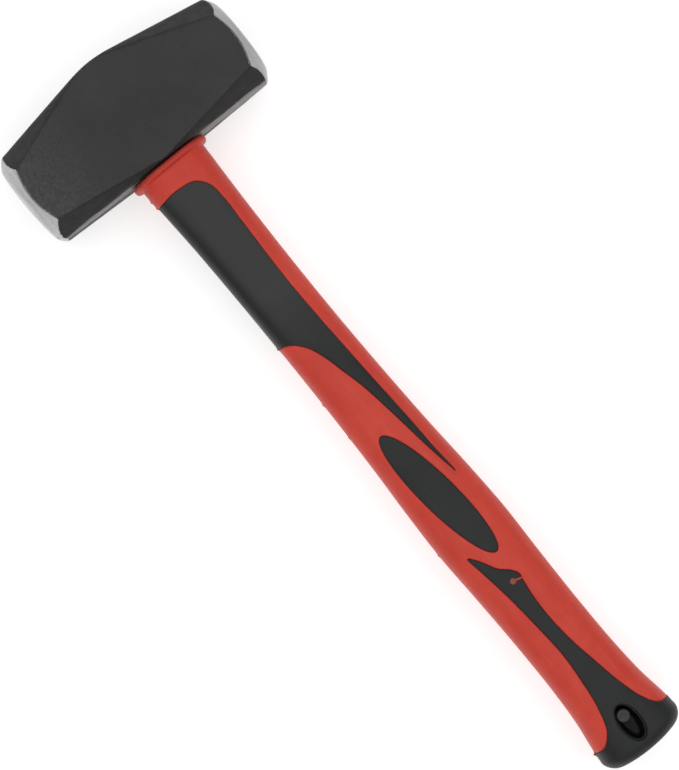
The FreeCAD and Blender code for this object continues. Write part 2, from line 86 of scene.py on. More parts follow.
def band(first, second):
    """Quads between two rings of vertex numbers of equal count."""
    quads = []
    for j in range(len(first)):
        k = (j + 1) % len(first)
        quads.append([first[j], first[k], second[k], second[j]])
    return quads


def fan(ring, middle):
    """Triangles from a ring of vertex numbers to the vertex in its middle."""
    return [[ring[j], ring[(j + 1) % len(ring)], middle] for j in range(len(ring))]


def ellipse(centre, half, tilt=0.0, count=160):
    """Points of an ellipse in plan, its long axis tilted towards +Y."""
    along = half[0] * np.cos(turns(count))
    across = half[1] * np.sin(turns(count))
    x = centre[0] + along * math.cos(tilt) - across * math.sin(tilt)
    y = centre[1] + along * math.sin(tilt) + across * math.cos(tilt)
    return np.stack([x, y], axis=1)


def add_rings(points, polygons, rings):
    """Append rings of equal count, joined by quads, and close both ends round their middles."""
    numbers = []
    for ring in rings:
        numbers.append(list(range(len(points), len(points) + len(ring))))
        points.extend(tuple(p) for p in ring)
    for ring, following in zip(numbers, numbers[1:]):
        polygons += band(ring, following)
    for ring, ring_numbers in ((rings[0], numbers[0]), (rings[-1], numbers[-1])):
        points.append(tuple(np.mean(np.array(ring), axis=0)))
        polygons += fan(ring_numbers, len(points) - 1)


def hash_noise(points, seed):
    """Smooth noise from -1 to 1 at each point, one lattice cell per unit."""
    cell = np.floor(points).astype(np.int64)
    part = points - cell
    part = part * part * (3.0 - 2.0 * part)
    total = np.zeros(len(points))
    for corner in range(8):
        step = np.array([corner & 1, (corner >> 1) & 1, (corner >> 2) & 1])
        at = cell + step
        # Large odd numbers scatter the lattice points over the range of the key.
        key = at[:, 0] * 73856093 ^ at[:, 1] * 19349663 ^ at[:, 2] * 83492791 ^ (seed * 7919 + 17)
        key = (key ^ (key >> 13)) & 0x7FFFFFFF
        key = (key * 1274126177) & 0x7FFFFFFF
        key = key ^ (key >> 15)
        value = (key & 0xFFFF) / 32767.5 - 1.0
        weight = np.prod(np.where(step == 1, part, 1.0 - part), axis=1)
        total += value * weight
    return total


def rough_noise(points, size, seed, octaves=3):
    """Sum of noises, each half as large and half as strong as the last."""
    total = np.zeros(len(points))
    strength = 1.0
    for octave in range(octaves):
        total += strength * hash_noise(points / size * 2.0 ** octave + 31.7 * octave, seed + octave)
        strength *= 0.5
    # Three octaves come to 1.75 at most.
    return total / 1.75


def smoothstep(low, high, x):
    t = np.clip((x - low) / (high - low), 0.0, 1.0)
    return t * t * (3.0 - 2.0 * t)


def hermite(knots, values, x):
    """A smooth curve through the knots."""
    knots = np.array(knots, dtype=float)
    values = np.array(values, dtype=float)
    slope = np.gradient(values, knots)
    i = np.clip(np.searchsorted(knots, x) - 1, 0, len(knots) - 2)
    width = knots[i + 1] - knots[i]
    t = (x - knots[i]) / width
    return (
        (2 * t ** 3 - 3 * t ** 2 + 1) * values[i]
        + (t ** 3 - 2 * t ** 2 + t) * width * slope[i]
        + (-2 * t ** 3 + 3 * t ** 2) * values[i + 1]
        + (t ** 3 - t ** 2) * width * slope[i + 1]
    )


def flowing_line(points, per_span=14):
    """Points along a smooth curve through these points; two points give a straight line."""
    points = np.array(points, dtype=float)
    if len(points) == 2:
        return [tuple(points[0])]
    spans = np.linalg.norm(np.diff(points, axis=0), axis=1)
    along = np.concatenate([[0.0], np.cumsum(spans)])
    steps = np.concatenate(
        [np.linspace(along[k], along[k + 1], per_span, endpoint=False) for k in range(len(spans))]
    )
    xs = hermite(along, points[:, 0], steps)
    ys = hermite(along, points[:, 1], steps)
    return list(zip(xs, ys))


def outline(runs):
    """One closed outline from several runs, each starting where the last one ends."""
    line = []
    for run in runs:
        line.extend(flowing_line(run))
    return np.array(line)


def signed_distance(x, y, line, reach=5.0):
    """Distance to a closed outline, negative inside it, and no more than reach outside."""
    result = np.full(len(x), reach)
    low = line.min(axis=0) - reach
    high = line.max(axis=0) + reach
    batch = 4000
    near = np.nonzero((x > low[0]) & (x < high[0]) & (y > low[1]) & (y < high[1]))[0]
    a = line
    b = np.roll(line, -1, axis=0)
    ab = b - a
    length2 = np.maximum((ab ** 2).sum(axis=1), 1e-12)
    for start in range(0, len(near), batch):
        pick = near[start:start + batch]
        p = np.stack([x[pick], y[pick]], axis=1)[:, None, :]
        t = np.clip(((p - a) * ab).sum(axis=2) / length2, 0.0, 1.0)
        gap = p - (a + t[..., None] * ab)
        distance = np.sqrt((gap ** 2).sum(axis=2)).min(axis=1)
        py = p[..., 1]
        crosses = (a[:, 1] > py) != (b[:, 1] > py)
        rise = np.where(np.abs(ab[:, 1]) < 1e-12, 1e-12, ab[:, 1])
        at = a[:, 0] + (py - a[:, 1]) / rise * ab[:, 0]
        inside = (crosses & (p[..., 0] < at)).sum(axis=1) % 2 == 1
        result[pick] = np.where(inside, -distance, np.minimum(distance, reach))
    return result


# ------------------------------------------------------------------ node materials
def grey(tone):
    return (tone, tone, tone)


class Nodes:
    """Short way to write a node material: a call adds a node or a few and gives the output."""

    def __init__(self, name):
        self.material = bpy.data.materials.new(name)
        self.material.use_nodes = True
        self.tree = self.material.node_tree
        self.shader = self.tree.nodes["Principled BSDF"]
        # The place on the surface, in millimetres.
        self.place = self.scaled(self.add("ShaderNodeTexCoord").outputs["Object"], grey(1.0 / MM))

    def add(self, kind, **settings):
        node = self.tree.nodes.new(kind)
        for key, value in settings.items():
            setattr(node, key, value)
        return node

    def put(self, socket, value):
        if isinstance(value, bpy.types.NodeSocket):
            self.tree.links.new(value, socket)
        else:
            socket.default_value = value

    def math(self, operation, a, b=0.0, c=0.0, clamp=False):
        node = self.add("ShaderNodeMath", operation=operation, use_clamp=clamp)
        for socket, value in zip(node.inputs, (a, b, c)):
            self.put(socket, value)
        return node.outputs[0]

    def product(self, *values):
        result = values[0]
        for value in values[1:]:
            result = self.math("MULTIPLY", result, value)
        return result

    def distance(self, a, b):
        """Length of the vector with these two components."""
        return self.math("SQRT", self.math("ADD", self.product(a, a), self.product(b, b)))

    def scaled(self, vector, factors):
        node = self.add("ShaderNodeVectorMath", operation="MULTIPLY")
        self.put(node.inputs[0], vector)
        node.inputs[1].default_value = factors
        return node.outputs[0]

    def local(self):
        """Places along the handle, along the striking axis and above the middle plane."""
        node = self.add("ShaderNodeSeparateXYZ")
        self.put(node.inputs[0], self.place)
        x, y, z = node.outputs
        return x, y, self.math("SUBTRACT", z, MID_Z)

    def noise(self, size, detail=3.0, rough=0.5, vector=None, stretch=(1.0, 1.0, 1.0)):
        """Noise with features of about this size; stretch multiplies the size per axis."""
        vector = self.place if vector is None else vector
        node = self.add("ShaderNodeTexNoise")
        self.put(node.inputs["Vector"], self.scaled(vector, [1.0 / (size * s) for s in stretch]))
        node.inputs["Scale"].default_value = 1.0
        node.inputs["Detail"].default_value = detail
        node.inputs["Roughness"].default_value = rough
        return node.outputs["Fac"]

    def span(self, value, low, high, to_low=0.0, to_high=1.0):
        """Map low..high to to_low..to_high and clamp."""
        node = self.add("ShaderNodeMapRange", clamp=True)
        for socket, number in zip(node.inputs, (value, low, high, to_low, to_high)):
            self.put(socket, number)
        return node.outputs[0]

    def mix(self, share, a, b):
        node = self.add("ShaderNodeMix", data_type="RGBA")
        self.put(node.inputs["Factor"], share)
        for socket, colour in ((node.inputs[6], a), (node.inputs[7], b)):
            self.put(socket, colour if isinstance(colour, bpy.types.NodeSocket) else (*colour, 1.0))
        return node.outputs[2]

    def tint(self, tone, mask, share, colour):
        """Lay a colour over a tone by this share, where the mask is 1."""
        return self.mix(self.math("MULTIPLY", mask, share), tone, colour)

    def bump(self, layers):
        """Stacked bumps: pairs of height output and height in millimetres."""
        normal = None
        for height, depth in layers:
            node = self.add("ShaderNodeBump")
            node.inputs["Strength"].default_value = 1.0
            node.inputs["Distance"].default_value = depth * MM
            self.put(node.inputs["Height"], height)
            if normal is not None:
                self.put(node.inputs["Normal"], normal)
            normal = node.outputs[0]
        self.put(self.shader.inputs["Normal"], normal)

    def set(self, **values):
        names = {
            "colour": "Base Color",
            "roughness": "Roughness",
            "metallic": "Metallic",
            "specular": "Specular IOR Level",
        }
        for key, value in values.items():
            if key == "colour" and not isinstance(value, bpy.types.NodeSocket):
                value = (*value, 1.0)
            self.put(self.shader.inputs[names[key]], value)


def red_rubber():
    n = Nodes("red_soft_grip")
    broad = n.noise(20.0, 3.0, 0.55)
    cloud = n.noise(5.5, 4.0, 0.6)
    fine = n.noise(0.8, 3.0, 0.6)
    grain = n.noise(0.3, 2.0, 0.5)
    streak = n.noise(4.0, 3.0, 0.6, stretch=(5.0, 1.0, 1.0))
    tone = n.mix(n.span(broad, 0.3, 0.7), (0.665, 0.053, 0.032), (0.770, 0.072, 0.044))
    tone = n.tint(tone, n.span(cloud, 0.35, 0.7), 0.45, (0.600, 0.058, 0.042))
    tone = n.tint(tone, n.span(streak, 0.5, 0.75), 0.30, (0.810, 0.110, 0.072))
    tone = n.tint(tone, n.span(fine, 0.62, 0.74), 0.45, (0.430, 0.038, 0.026))
    x, y, up = n.local()
    # Painted shade: the collar just under the head is painted darker.
    collar = n.span(x, UNDERSIDE + 3.1, UNDERSIDE + 2.5)
    tone = n.tint(tone, collar, 0.35, (0.450, 0.036, 0.022))
    # The degated spot on the upper cheek is browner than the skin round it.
    away = n.distance(n.math("SUBTRACT", x, GATE_AT[0]), n.math("SUBTRACT", y, GATE_AT[1]))
    upper_cheek = n.span(up, 6.8, 7.8)
    spot = n.product(n.span(away, GATE_RADIUS + 0.15, GATE_RADIUS - 0.15), upper_cheek)
    tone = n.tint(tone, spot, 0.85, (0.260, 0.085, 0.060))
    rough = n.span(n.math("ADD", broad, fine), 0.7, 1.3, 0.46, 0.62)
    n.set(colour=tone, roughness=rough, specular=0.28)
    n.bump([(grain, 0.022), (fine, 0.040), (cloud, 0.10)])
    return n.material


def black_plastic():
    n = Nodes("black_hard_jacket")
    broad = n.noise(26.0, 3.0, 0.5)
    fine = n.noise(0.8, 3.0, 0.6)
    grain = n.noise(0.3, 2.0, 0.5)
    scuff = n.noise(3.2, 4.0, 0.65, stretch=(4.0, 1.0, 1.0))
    tone = n.mix(n.span(broad, 0.3, 0.7), (0.022, 0.023, 0.023), (0.032, 0.033, 0.033))
    tone = n.tint(tone, n.span(scuff, 0.60, 0.78), 0.30, (0.060, 0.060, 0.062))
    x, y, up = n.local()
    depth = n.math("ABSOLUTE", up)
    # Painted light and shade: on the upper panel nearer the head, the crown is painted paler and
    # the flanks darker, as the light falls on the rounded section.
    crown_light_flank_shade = n.mix(n.span(depth, 9.2, 11.4), grey(0.009), (0.062, 0.062, 0.063))
    tone = n.tint(tone, n.span(x, 125.0, 95.0), 0.55, crown_light_flank_shade)
    # Painted shade: the hang pockets are painted nearly black inside, where shade falls in them.
    beside = n.math("ABSOLUTE", y)
    along = n.math("ABSOLUTE", n.math("SUBTRACT", x, POCKET_AT[0]))
    inside = n.product(
        n.span(depth, 13.4, 11.8),
        n.span(beside, POCKET_HALF[1] + 0.25, POCKET_HALF[1] - 0.15),
        n.span(along, POCKET_HALF[0] + 0.8, POCKET_HALF[0] + 0.4),
    )
    tone = n.tint(tone, inside, 0.92, grey(0.003))
    rough = n.span(n.math("ADD", broad, scuff), 0.7, 1.3, 0.42, 0.58)
    n.set(colour=tone, roughness=rough, specular=0.20)
    n.bump([(grain, 0.020), (fine, 0.035), (scuff, 0.04)])
    return n.material


def head_steel():
    """Dark paint over the forging; bare turned steel where the cone and the faces were cut."""
    n = Nodes("painted_forged_steel")
    x, y, up = n.local()
    # Places in the head before its turn, as in head_field.
    square_x = n.math("ADD", x, n.math("MULTIPLY", y, math.tan(HEAD_TURN)))
    reach = n.math("ADD", n.math("ABSOLUTE", y), n.span(y, -1.0, 1.0, SHORTER, 0.0))
    ahead = n.math("SUBTRACT", x, TURNED_X)
    radius = n.distance(ahead, up)
    to_edge = n.math("SUBTRACT", FACE_EDGE, reach)
    cone = n.math("ADD", n.math("DIVIDE", to_edge, CONE_RATE), FACE_RADIUS)
    # The paint was cut back a little further than the steel, with a ragged and chipped edge.
    ragged = n.noise(2.2, 4.0, 0.65)
    chips = n.noise(0.9, 2.0, 0.5)
    chipped = n.span(chips, 0.58, 0.70, 0.0, 0.45)
    limit = n.math("ADD", n.span(ragged, 0.35, 0.75, 0.35, 0.70), chipped)
    below = n.math("SUBTRACT", n.math("SUBTRACT", cone, radius), limit)
    bare = n.span(below, -0.06, 0.06, 1.0, 0.0)
    bare = n.math("MAXIMUM", bare, n.span(reach, 58.1, 58.3))
    outward = n.math("ADD", square_x, n.math("MULTIPLY", reach, CORNER_SLOPE))
    dressed = n.span(outward, CORNER_REACH - 0.5, CORNER_REACH - 0.3)
    bare = n.math("MAXIMUM", bare, n.product(dressed, n.span(y, -50.0, -51.0)))

    broad = n.noise(30.0, 4.0, 0.55)
    mottled = n.noise(4.5, 5.0, 0.6)
    peel = n.noise(0.7, 3.0, 0.55)
    speckle = n.noise(0.45, 2.0, 0.6)
    paint = n.mix(n.span(broad, 0.3, 0.7), grey(0.047), grey(0.060))
    paint = n.tint(paint, n.span(mottled, 0.45, 0.75), 0.4, grey(0.060))
    paint = n.tint(paint, n.span(speckle, 0.50, 0.72), 0.5, grey(0.075))
    # The end with the late flats is scuffed paler towards its face.
    rubbed = n.product(n.span(y, -20.0, -56.0), n.span(n.noise(1.3, 5.0, 0.7), 0.38, 0.62))
    paint = n.tint(paint, rubbed, 0.70, grey(0.110))
    # Painted shade: the corner flats and the other faces away from the cheeks are painted darker
    # than the cheeks.
    off_cheek_shade = n.span(n.math("ABSOLUTE", up), HALF_DEPTH - 0.4, HALF_DEPTH - 1.2)
    paint = n.tint(paint, off_cheek_shade, 0.80, grey(0.019))
    dust = n.span(n.noise(0.55, 2.0, 0.6), 0.70, 0.76)
    paint = n.tint(paint, dust, 0.6, grey(0.14))
    edge = n.add("ShaderNodeNewGeometry").outputs["Pointiness"]
    worn = n.product(n.span(edge, 0.512, 0.545), n.span(n.noise(1.6, 4.0, 0.6), 0.42, 0.62))
    paint = n.tint(paint, worn, 0.6, grey(0.12))
    # Painted reflection: a pale patchy strip is painted along the middle of the underside, where
    # the glossy paint catches the floor at a grazing angle.
    under_x = n.math("SUBTRACT", square_x, n.math("MULTIPLY", y, UNDER_LEAN))
    underside_glint = n.span(under_x, UNDER_AT - 0.9, UNDER_AT - 0.6)
    uneven = n.math("ADD", up, n.span(n.noise(5.0, 4.0, 0.6), 0.3, 0.7, -1.0, 1.0))
    high_rim = n.span(uneven, 12.4, 11.4)
    low_rim_at = n.span(y, -50.0, -5.0, 3.0, -6.0)
    low_rim = n.span(n.math("SUBTRACT", uneven, low_rim_at), -0.8, 0.8)
    patchy = n.span(n.noise(2.0, 4.0, 0.6, stretch=(1.0, 5.0, 1.0)), 0.30, 0.42)
    paint = n.tint(paint, n.product(high_rim, low_rim, underside_glint, patchy), 0.85, grey(0.29))

    # The tool marks run round the turned faces, so their noise is laid out by radius and angle.
    rings = n.add("ShaderNodeCombineXYZ")
    n.put(rings.inputs["X"], radius)
    n.put(rings.inputs["Y"], n.math("MULTIPLY", n.math("ARCTAN2", up, ahead), 2.2))
    lathe = n.noise(0.22, 3.0, 0.6, vector=rings.outputs[0])
    lathe_wide = n.noise(1.4, 2.0, 0.5, vector=rings.outputs[0])
    steel = n.mix(n.span(lathe, 0.3, 0.7), grey(0.34), grey(0.47))
    steel = n.tint(steel, n.span(lathe_wide, 0.45, 0.7), 0.35, grey(0.27))
    # Painted shade: the turned steel at the +Y end is painted darker than at the -Y end.
    steel = n.tint(steel, n.span(y, 50.0, 54.0), 0.45, grey(0.22))

    painted = n.math("SUBTRACT", 1.0, bare)
    bare_rough = n.product(bare, n.span(lathe_wide, 0.3, 0.7, 0.27, 0.38))
    paint_rough = n.product(painted, n.span(mottled, 0.3, 0.75, 0.40, 0.55))
    n.set(
        colour=n.mix(bare, paint, steel),
        metallic=bare,
        roughness=n.math("ADD", bare_rough, paint_rough),
        specular=0.07,
    )
    paint_bumps = [(n.product(mottled, painted), 0.20), (n.product(peel, painted), 0.06)]
    n.bump(paint_bumps + [(n.product(lathe, bare), 0.012)])
    return n.material


def resin():
    n = Nodes("cast_resin")
    cloud = n.noise(5.0, 4.0, 0.6)
    ripple = n.noise(2.5, 2.0, 0.5)
    bubble = n.noise(0.7, 1.0, 0.4)
    tone = n.mix(n.span(cloud, 0.3, 0.7), (0.030, 0.027, 0.020), (0.060, 0.052, 0.036))
    n.set(colour=tone, roughness=n.span(cloud, 0.3, 0.7, 0.16, 0.3), specular=0.5)
    n.bump([(ripple, 0.15), (n.span(bubble, 0.62, 0.7), 0.08)])
    return n.material


def glass_fibre():
    n = Nodes("pultruded_glass_fibre")
    strands = n.noise(0.35, 2.0, 0.5, stretch=(60.0, 1.0, 1.0))
    bundle = n.noise(2.0, 3.0, 0.55, stretch=(20.0, 1.0, 1.0))
    tone = n.mix(n.span(strands, 0.35, 0.65), (0.42, 0.36, 0.20), (0.62, 0.56, 0.36))
    tone = n.tint(tone, n.span(bundle, 0.5, 0.7), 0.4, (0.30, 0.25, 0.14))
    n.set(colour=tone, roughness=n.span(bundle, 0.3, 0.7, 0.35, 0.5), specular=0.5)
    n.bump([(strands, 0.04)])
    return n.material


def seal_rubber():
    n = Nodes("seal_rubber")
    fine = n.noise(0.8, 3.0, 0.6)
    tone = n.mix(n.span(fine, 0.3, 0.7), (0.030, 0.030, 0.031), (0.052, 0.052, 0.053))
    n.set(colour=tone, roughness=n.span(fine, 0.3, 0.7, 0.6, 0.75), specular=0.4)
    n.bump([(fine, 0.05)])
    return n.material


def pin_plastic():
    n = Nodes("pin_plastic")
    fine = n.noise(0.7, 3.0, 0.6)
    broad = n.noise(3.0, 3.0, 0.6)
    tone = n.mix(n.span(broad, 0.3, 0.7), (0.013, 0.014, 0.015), (0.025, 0.025, 0.026))
    n.set(colour=tone, roughness=n.span(fine, 0.3, 0.7, 0.4, 0.55), specular=0.5)
    n.bump([(fine, 0.03), (broad, 0.06)])
    return n.material


# ------------------------------------------------------------------ head
HALF_DEPTH = 23.2
RIDGE = 31.85
BACK_SLOPE = math.radians(8.3)
RIDGE_RADIUS = 80.0
# A corner flat starts this wide in the middle and widens at this rate. A flat by the underside
# drops half as far as it reaches across, and one by the back 0.7 as far.
FLAT_START = 0.4
FLAT_GROWTH = 0.30
LOW_DROP = 0.5
HIGH_DROP = 0.7
# The upper flats on the -Y side start further out than the others.
LATE = 4.0
FACE_RADIUS = 18.6
FACE_EDGE = 59.0
FACE_TIP = 60.15
CONE_RATE = 0.71
# The turned ends lie a little nearer the ridge than the middle of the eye.
TURNED_X = -1.0
# The head sits a little askew on the handle. Its underside clears the collar and leans a little.
HEAD_TURN = math.radians(-0.5)
UNDER_AT = UNDERSIDE - 0.75
UNDER_LEAN = 0.005
# The -Y end was turned shorter, its dome nearer the ridge and its corner at the underside dressed
# off, by a flat that stands 21.9 below the middle of the head where it is 54.6 from it.
SHORTER = 0.6
DOME_SHIFT = -2.5
CORNER_SLOPE = 0.9
CORNER_REACH = 21.9 + CORNER_SLOPE * 54.6
# How far the unevenness of the forging may stand out of its even form.
FORGED_RISE = 0.16


def soft_max(values, sharpness):
    """Largest of several fields, with the corner between them rounded off."""
    top = np.max(values, axis=0)
    total = sum(np.exp(sharpness * (v - top)) for v in values)
    return top + np.log(total) / sharpness


def head_field(px, py, pz):
    """Two fields, of the forging and of its turned ends: negative inside, zero on the skin."""
    side = np.abs(py)
    z = np.abs(pz)
    # The back: two slopes that meet in a rounded ridge.
    crest_y = RIDGE_RADIUS * math.sin(BACK_SLOPE)
    crest_top = RIDGE - RIDGE_RADIUS * (1.0 / math.cos(BACK_SLOPE) - 1.0)
    sloping = RIDGE - math.tan(BACK_SLOPE) * side
    rounded = crest_top - RIDGE_RADIUS + np.sqrt(RIDGE_RADIUS ** 2 - np.minimum(side, crest_y) ** 2)
    over_back = -px - np.where(side > crest_y, sloping, rounded)
    beyond = px - UNDER_AT - UNDER_LEAN * py
    cheek = z - HALF_DEPTH
    # The flats of both sides meet in a soft curve in the middle.
    leg = FLAT_START + FLAT_GROWTH * np.sqrt(py * py + 0.25)
    late = np.where(py < 0.0, FLAT_GROWTH * LATE * (1.0 - np.exp(-side / LATE)), 0.0)
    low = (beyond + LOW_DROP * (cheek + leg)) / math.hypot(1.0, LOW_DROP)
    high = (over_back + HIGH_DROP * (cheek + leg - late)) / math.hypot(1.0, HIGH_DROP)
    back = over_back * math.cos(BACK_SLOPE)
    forging = soft_max([soft_max([back, cheek, low, high], 2.0), beyond], 3.5)

    out = side + np.where(py < 0.0, SHORTER, 0.0)
    radius = np.sqrt((px - TURNED_X) ** 2 + pz * pz)
    cone = (CONE_RATE * (radius - FACE_RADIUS) - (FACE_EDGE - out)) / math.hypot(1.0, CONE_RATE)
    rise = FACE_TIP - FACE_EDGE
    ball = (FACE_RADIUS ** 2 + rise ** 2) / (2.0 * rise)
    dome_x = TURNED_X + np.where(py < 0.0, DOME_SHIFT, 0.0)
    dome = np.sqrt((px - dome_x) ** 2 + pz * pz + (out - FACE_TIP + ball) ** 2) - ball
    corner = (px + CORNER_SLOPE * out - CORNER_REACH) / math.hypot(1.0, CORNER_SLOPE)
    far_inside = -9.0
    turned = soft_max([cone, dome, np.where(py < 0.0, corner, far_inside)], 3.5)
    return forging, turned


def forged_skin(px, py, pz):
    """Hammer-forged unevenness of the painted part, in millimetres."""
    at = np.stack([px, py, pz], axis=1)
    broad = rough_noise(at, 26.0, 3, 2) * 0.16
    dents = rough_noise(at, 7.0, 11, 3) * 0.09
    return broad + dents


def head_value(px, py, pz):
    forging, turned = head_field(px, py, pz)
    return soft_max([forging - forged_skin(px, py, pz) + FORGED_RISE, turned], 5.0)


def reach_skin(count, near, far, place):
    """Distance of the head's skin, between near and far; place(distance) gives the points."""
    near = np.full(count, near)
    far = np.full(count, far)
    for _ in range(26):
        middle = (near + far) / 2.0
        outside = head_value(*place(middle)) > 0.0
        far = np.where(outside, middle, far)
        near = np.where(outside, near, middle)
    return (near + far) / 2.0


def build_head(material):
    """Rows of points round the striking axis, and rings over both faces."""
    columns = 392
    cos = np.cos(turns(columns))
    sin = np.sin(turns(columns))
    last_y = FACE_EDGE - 0.25
    rows_y = np.concatenate(
        [
            -np.linspace(last_y - SHORTER, 40.0, 44, endpoint=False),
            np.linspace(-40.0, 40.0, 128, endpoint=False),
            np.linspace(40.0, last_y, 45),
        ]
    )
    all_cos = np.tile(cos, len(rows_y))
    all_sin = np.tile(sin, len(rows_y))
    y = np.repeat(rows_y, columns)
    radius = reach_skin(len(y), 5.0, 45.0, lambda r: (r * all_cos, y, r * all_sin))
    points = [np.stack([radius * all_cos, y, radius * all_sin], axis=1)]
    count = len(y)
    rows = np.arange(count).reshape(-1, columns).tolist()
    polygons = []
    for row, following in zip(rows, rows[1:]):
        polygons += band(row, following)
    for side, previous, tip in ((-1.0, rows[0], FACE_TIP - SHORTER), (1.0, rows[-1], FACE_TIP)):
        rim = radius[previous]
        for share in (0.985, 0.965, 0.94, 0.90, 0.82, 0.72, 0.60, 0.47, 0.34, 0.21, 0.10):
            x = share * rim * cos
            z = share * rim * sin
            ring_y = side * reach_skin(columns, 50.0, 62.0, lambda out: (x, side * out, z))
            points.append(np.stack([x, ring_y, z], axis=1))
            ring = list(range(count, count + columns))
            polygons += band(previous, ring)
            previous = ring
            count += columns
        points.append(np.array([[0.0, side * tip, 0.0]]))
        polygons += fan(previous, count)
        count += 1
    return mesh_object("forged_head", np.concatenate(points), polygons, material, 55.0)


def eye_outline(width, depth, corner):
    """Oval with round corners, as points about its centre."""
    half = np.array([width / 2.0, depth / 2.0]) - corner
    direction = np.stack([np.cos(turns(96)), np.sin(turns(96))], axis=1)
    return np.sign(direction) * half + direction * corner


def build_eye_cutter(material):
    """Solid with the shape of the eye, flared a little at both mouths."""
    # Place along the handle, width along the striking axis, depth.
    stations = [
        (UNDERSIDE + 6.0, 38.0, 28.0),
        (UNDERSIDE, 36.4, 26.4),
        (UNDERSIDE - 1.2, 34.0, 24.0),
        (-27.9, 36.8, 26.3),
        (-29.6, 37.6, 27.1),
        (-30.9, 40.2, 29.6),
        (-38.0, 52.0, 41.0),
    ]
    rings = []
    for x, width, depth in stations:
        ring = eye_outline(width, depth, 10.5 + (width - 34.0) * 0.4)
        rings.append([(x, y, z) for y, z in ring])
    points = []
    polygons = []
    add_rings(points, polygons, rings)
    return mesh_object("eye_cutter", points, polygons, material)


steel = head_steel()
head = build_head(steel)
cutter = build_eye_cutter(steel)
cut = head.modifiers.new("eye", "BOOLEAN")
cut.operation = "DIFFERENCE"
cut.solver = "EXACT"
cut.object = cutter
graph = bpy.context.evaluated_depsgraph_get()
pierced = bpy.data.meshes.new_from_object(head.evaluated_get(graph))
head.modifiers.clear()
head.data = pierced
bpy.data.objects.remove(cutter)
pierced.set_sharp_from_angle(angle=math.radians(50.0))
pierced.transform(Matrix.Rotation(HEAD_TURN, 4, "Z"))
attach(head, "root")
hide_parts("hammer_head")


# ------------------------------------------------------------------ handle forms
HANDLE_END = 350.0
# The end of the butt is crowned, and its rim rounded off from the section at END_SECTION.
CROWN = 70.0
END_ROUND = 5.0
END_SECTION = 346.0
# The red skin is this thick, and in the butt its hidden side keeps this share of the section.
SKIN = 2.0
END_SHARE = 0.85
# Power of the superellipse of the sections, and of the squarer one of the rod.
SECTION_POWER = 2.7
ROD_POWER = 5.0
COLUMNS = 160
# Distance from the underside of the head, width along the striking axis, depth.
STATIONS = [
    (0.0, 33.8, 28.4),
    (16.0, 32.2, 27.2),
    (43.0, 30.3, 25.8),
    (86.0, 28.9, 24.8),
    (128.0, 29.8, 25.4),
    (160.0, 31.8, 26.8),
    (184.0, 34.2, 28.0),
    (207.0, 35.5, 28.6),
    (230.0, 34.3, 28.4),
    (262.0, 33.3, 28.2),
    (284.0, 33.9, 28.8),
    (300.0, 35.9, 30.0),
    (314.0, 39.7, 31.4),
    (327.5, 41.0, 32.0),
]
station_x, station_width, station_depth = (np.array(column) for column in zip(*STATIONS))


def half_section(x):
    at = x - UNDERSIDE
    return hermite(station_x, station_width, at) / 2.0, hermite(station_x, station_depth, at) / 2.0


def section_angles():
    """Directions round the section that divide its girth evenly, with one on each axis."""
    t = np.linspace(0.0, TAU, 8001)
    y, z = superellipse(t, SECTION_POWER)
    # The sections are about 1.2 times as wide as deep.
    run = np.concatenate([[0.0], np.cumsum(np.hypot(1.2 * np.diff(y), np.diff(z)))])
    return np.interp(np.arange(COLUMNS) / COLUMNS * run[-1], run, t)


def superellipse(t, power):
    c = np.cos(t)
    s = np.sin(t)
    return np.sign(c) * np.abs(c) ** (2.0 / power), np.sign(s) * np.abs(s) ** (2.0 / power)


section_t = section_angles()
section_y, section_z = superellipse(section_t, SECTION_POWER)
rod_y, rod_z = superellipse(section_t, ROD_POWER)


def crown_x(y, z):
    return HANDLE_END - (y * y + z * z) / (2.0 * CROWN)


def collar_rows():
    """Place along the handle and bulge over the section, from the head over the collar."""
    rows = [(-0.25, 0.3), (-0.25, 1.2)]
    for turn in np.linspace(0.0, math.pi, 17):
        rows.append((1.20 - 1.45 * math.cos(turn), 1.4 + 1.2 * math.sin(turn) ** 0.8))
    # A fine groove sets the collar off from the shaft.
    rows += [(2.70, 0.9), (2.74, 0.45), (2.84, 0.1), (3.04, -0.05)]
    rows += [(3.5, -0.08), (4.4, -0.03), (5.2, 0.0)]
    return [(UNDERSIDE + at, bulge) for at, bulge in rows]


def handle_grid():
    """Outer surface and hidden surface of the skin, each as rows of points round the handle."""
    outer = []
    inner = []

    def add_row(x, y, z, inner_y, inner_z):
        x = np.broadcast_to(x, COLUMNS)
        outer.append(np.stack([x, y, z], axis=1))
        inner.append(np.stack([x, inner_y, inner_z], axis=1))

    shaft_rows = [(x, 0.0) for x in (*np.linspace(28.4, 339.6, 366), 340.3, 341.0)]
    for x, bulge in collar_rows() + shaft_rows:
        a, b = half_section(max(x, UNDERSIDE))
        y = (a + bulge) * section_y
        z = (b + bulge) * section_z
        add_row(x, y, z, (a - SKIN) * section_y, (b - SKIN) * section_z)
    # Inset, share of the section and fall from the crown: round the rim, then over the end.
    end_rows = []
    for turn in np.linspace(0.0, math.pi / 2.0, 13):
        inset = END_ROUND * (1.0 - math.cos(turn))
        end_rows.append((inset, 1.0, END_ROUND * (1.0 - math.sin(turn))))
    for share in (0.95, 0.88, 0.80, 0.71, 0.61, 0.51, 0.41, 0.31, 0.21, 0.11):
        end_rows.append((END_ROUND, share, 0.0))
    a, b = half_section(END_SECTION)
    for inset, share, fall in end_rows:
        y = (a - inset) * share * section_y
        z = (b - inset) * share * section_z
        add_row(crown_x(y, z) - fall, y, z, y * END_SHARE, z * END_SHARE)
    return np.array(outer), np.array(inner)


